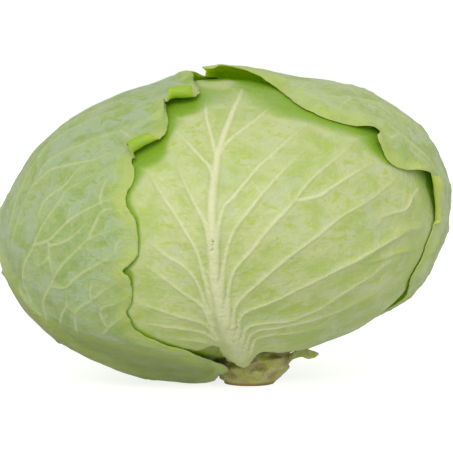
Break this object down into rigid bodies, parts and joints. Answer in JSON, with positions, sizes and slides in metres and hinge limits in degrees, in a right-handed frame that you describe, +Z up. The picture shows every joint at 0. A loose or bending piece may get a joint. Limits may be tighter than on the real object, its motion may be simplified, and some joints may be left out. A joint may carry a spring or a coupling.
{
  "type": "cabbage head",
  "caption": "A flat-headed green cabbage: wrapped, ribbed leaves with waved edges round a dense heart, on a short cut stem",
  "frame": {"origin": "centre of the flat cut face under the stem, which the head stands on", "axes": "+Z up out of the cut face, +X to the head's right along its longest extent, +Y to its back"},
  "size_m": [0.2228, 0.2134, 0.1556],
  "materials": {
    "right_leaf": "waxy green leaf",
    "left_leaf": "waxy blue-green leaf",
    "front_leaf": "pale yellow-green leaf",
    "under_leaf": "olive leaf",
    "side_leaf": "pale green leaf",
    "back_leaf": "waxy green leaf",
    "torn_stalk": "pale torn leaf stalk",
    "stem": "dull beige stem with a brown cut",
    "heart": "pale packed inner leaves"
  },
  "bodies": {
    "root": {"right_leaf": "right_leaf", "left_leaf": "left_leaf", "front_leaf": "front_leaf", "under_leaf": "under_leaf", "side_leaf": "side_leaf", "back_leaf": "back_leaf", "torn_stalk": "torn_stalk", "stem": "stem", "heart": "heart"}
  },
  "joints": []
}
